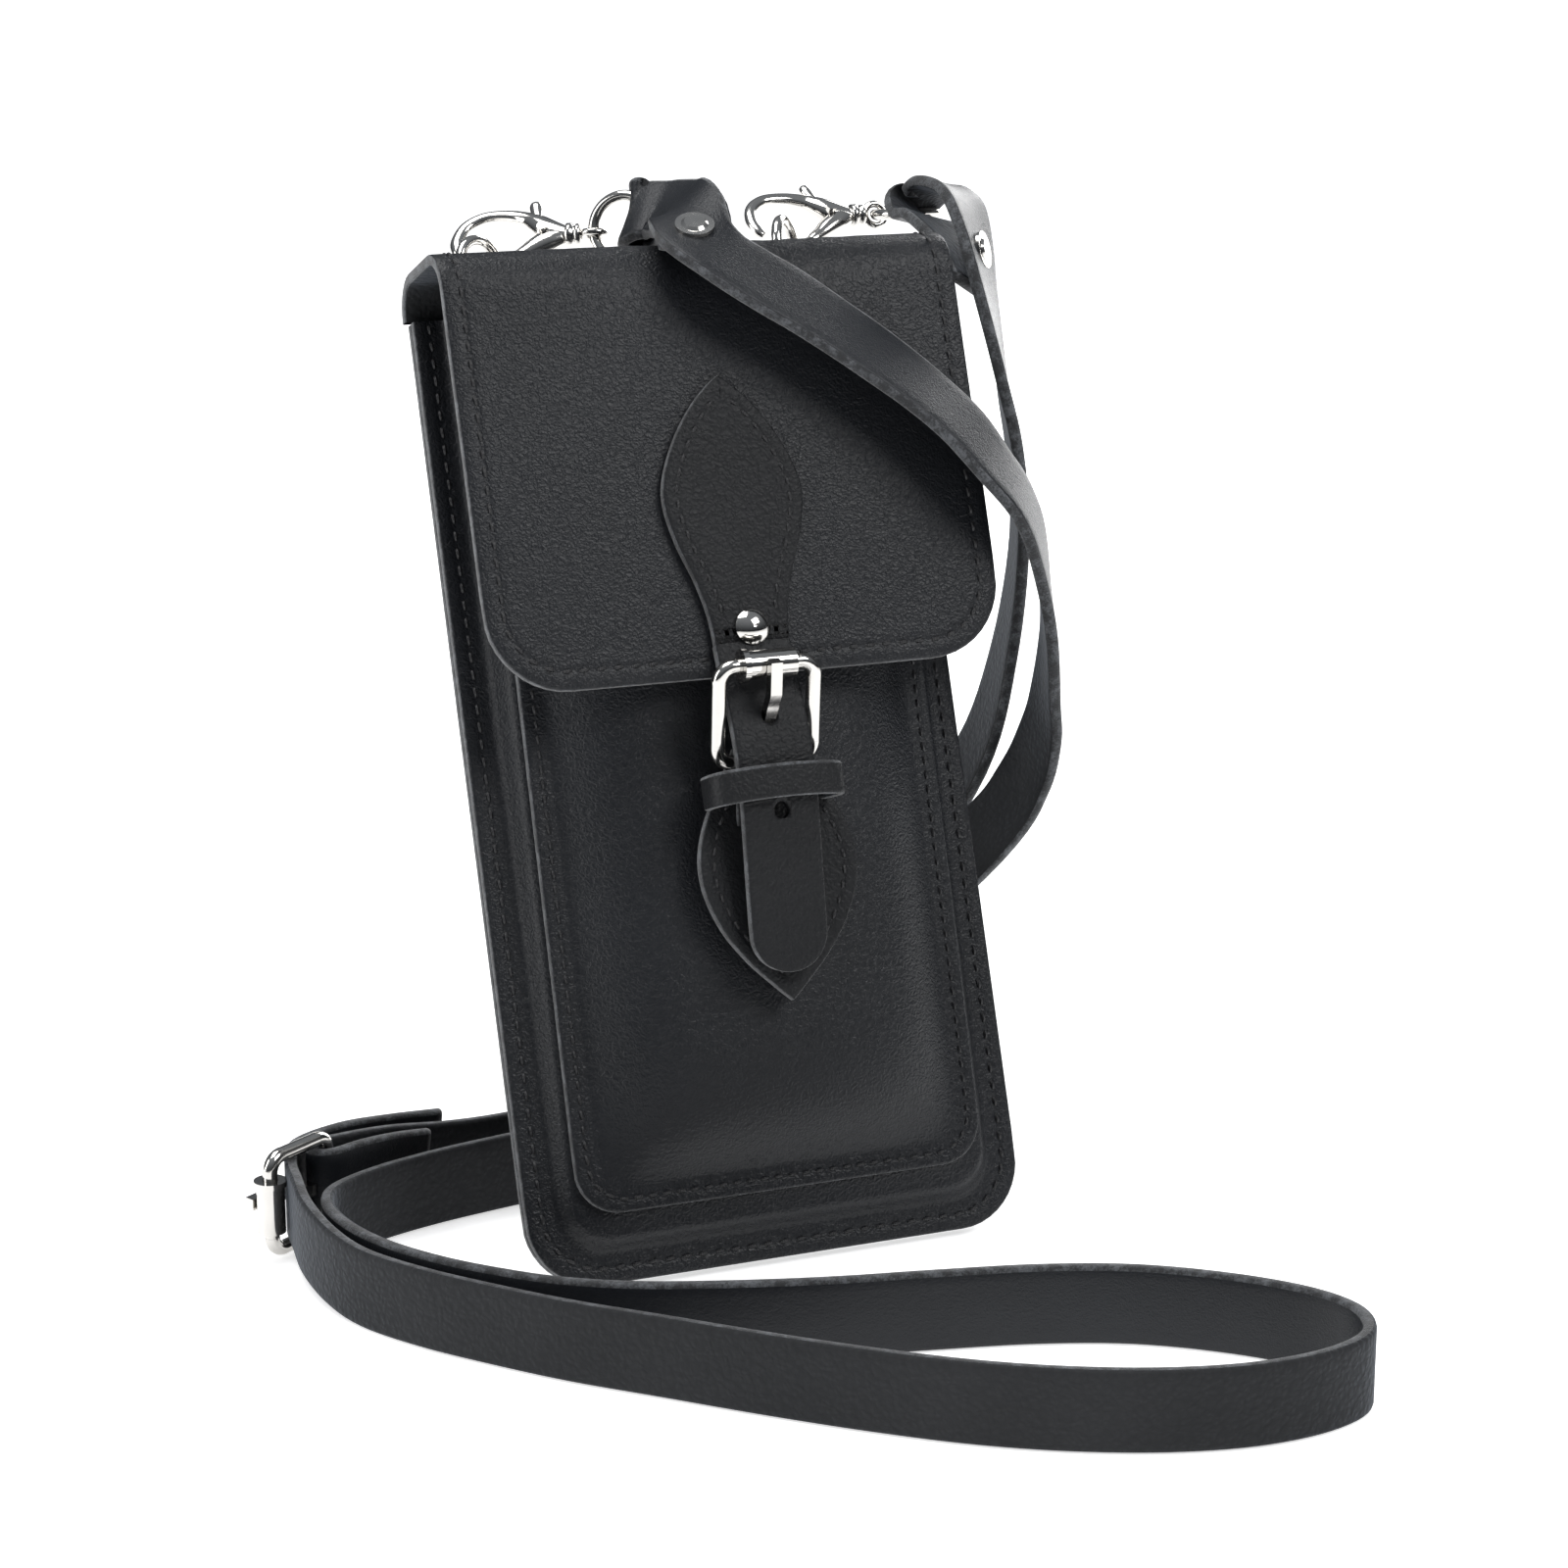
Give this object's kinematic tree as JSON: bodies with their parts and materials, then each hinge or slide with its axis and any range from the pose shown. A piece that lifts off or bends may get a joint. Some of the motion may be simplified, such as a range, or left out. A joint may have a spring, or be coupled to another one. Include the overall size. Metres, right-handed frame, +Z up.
{
  "type": "leather case with strap",
  "caption": "Slim upright black leather case with a buckled flap over a moulded front pocket, a shoulder strap clipped to rings behind the top fold and a roller strap buckle",
  "frame": {"origin": "on the floor plane under the centre of the case body, without the strap", "axes": "+Z up, X along the case's width with +X to the viewer's right, front of the case faces -Y; the case leans back 20.5 degrees"},
  "size_m": [0.1668, 0.2001, 0.1996],
  "materials": {
    "case_leather": "pebbled, satin",
    "strap_leather": "smooth, satin",
    "thread": "waxed",
    "nickel": "polished"
  },
  "bodies": {
    "case": {"back_panel": "case_leather", "front_panel": "case_leather", "pocket_panel": "case_leather", "body_stitching": "thread", "pocket_stitching": "thread", "lower_leaf": "case_leather", "lower_leaf_stitching": "thread", "keeper_loop": "case_leather", "ring_tab_left": "case_leather", "ring_tab_right": "case_leather", "tab_rivet_left": "nickel", "tab_rivet_right": "nickel", "clasp_eye_left": "nickel", "clasp_eye_right": "nickel", "strap_ring_left": "nickel", "strap_ring_right": "nickel", "strap_rivet_left": "nickel", "strap_rivet_right": "nickel", "strap_buckle_frame": "nickel", "strap_front_run": "strap_leather", "strap_side_run": "strap_leather", "strap_floor_loop": "strap_leather", "strap_tip_run": "strap_leather", "strap_short_run": "strap_leather", "strap_chape": "strap_leather"},
    "flap": {"flap": "case_leather", "flap_stitching": "thread", "flap_leaf": "case_leather", "flap_leaf_stitching": "thread", "flap_rivet": "nickel", "billet_strap": "case_leather"},
    "buckle": {"buckle_frame": "nickel"},
    "roller": {"buckle_roller": "nickel"},
    "prong": {"buckle_prong": "nickel"},
    "ring_left": {"case_ring_left": "nickel"},
    "ring_right": {"case_ring_right": "nickel"},
    "hook_left": {"clasp_hook_left": "nickel", "clasp_pin_left": "nickel"},
    "hook_right": {"clasp_hook_right": "nickel", "clasp_pin_right": "nickel"},
    "lever_left": {"clasp_lever_left": "nickel"},
    "lever_right": {"clasp_lever_right": "nickel"},
    "strap_roller": {"strap_buckle_roller": "nickel"},
    "strap_prong": {"strap_buckle_prong": "nickel"}
  },
  "joints": [
    {"name": "flap_hinge", "type": "hinge", "parent": "case", "child": "flap", "pos_m": [0, 0.02725, 0.1727], "axis": [-1, 0, 0], "range_deg": [0, 22], "deforming": ["billet_strap", "strap_front_run", "strap_side_run", "keeper_loop", "strap_rivet_left"]},
    {"name": "buckle_swing", "type": "hinge", "parent": "case", "child": "buckle", "pos_m": [-0.0008, -0.03083, 0.09673], "axis": [1, 0, 0], "range_deg": [0, 38]},
    {"name": "prong_swing", "type": "hinge", "parent": "buckle", "child": "prong", "pos_m": [-0.0008, -0.03083, 0.09673], "axis": [1, 0, 0], "range_deg": [0, 22]},
    {"name": "roller_turn", "type": "hinge", "parent": "buckle", "child": "roller", "pos_m": [-0.0008, -0.03216, 0.11518], "axis": [1, 0, 0], "continuous": true},
    {"name": "ring_left_swing", "type": "hinge", "parent": "case", "child": "ring_left", "pos_m": [-0.0314, 0.03802, 0.17294], "axis": [0.866, 0.4683, -0.1751], "range_deg": [0, 3]},
    {"name": "ring_right_swing", "type": "hinge", "parent": "case", "child": "ring_right", "pos_m": [0.0324, 0.03708, 0.17329], "axis": [0.6428, 0.7175, -0.2683], "range_deg": [0, 3]},
    {"name": "hook_left_swivel", "type": "hinge", "parent": "case", "child": "hook_left", "pos_m": [-0.00966, 0.03629, 0.1871], "axis": [0.8596, -0.5075, 0.0597], "range_deg": [-3, 3]},
    {"name": "hook_right_swivel", "type": "hinge", "parent": "case", "child": "hook_right", "pos_m": [0.0514, 0.04719, 0.18726], "axis": [1, 0, 0], "range_deg": [-3, 3]},
    {"name": "lever_left_gate", "type": "hinge", "parent": "hook_left", "child": "lever_left", "pos_m": [-0.01811, 0.04165, 0.18674], "axis": [0.349, 0.4978, -0.7939], "range_deg": [0, 6], "stiffness_Nm_per_rad": 0.02, "springref_deg": -2.86},
    {"name": "lever_right_gate", "type": "hinge", "parent": "hook_right", "child": "lever_right", "pos_m": [0.0446, 0.04752, 0.18748], "axis": [0, 0.5664, -0.8241], "range_deg": [0, 6], "stiffness_Nm_per_rad": 0.02, "springref_deg": -2.86},
    {"name": "strap_roller_turn", "type": "hinge", "parent": "case", "child": "strap_roller", "pos_m": [-0.09, -0.00175, 0.011], "axis": [0, 0, 1], "continuous": true},
    {"name": "strap_prong_swing", "type": "hinge", "parent": "case", "child": "strap_prong", "pos_m": [-0.0766, 0.00695, 0.011], "axis": [0, 0, -1], "range_deg": [0, 15], "deforming": ["strap_tip_run", "strap_chape"]}
  ]
}
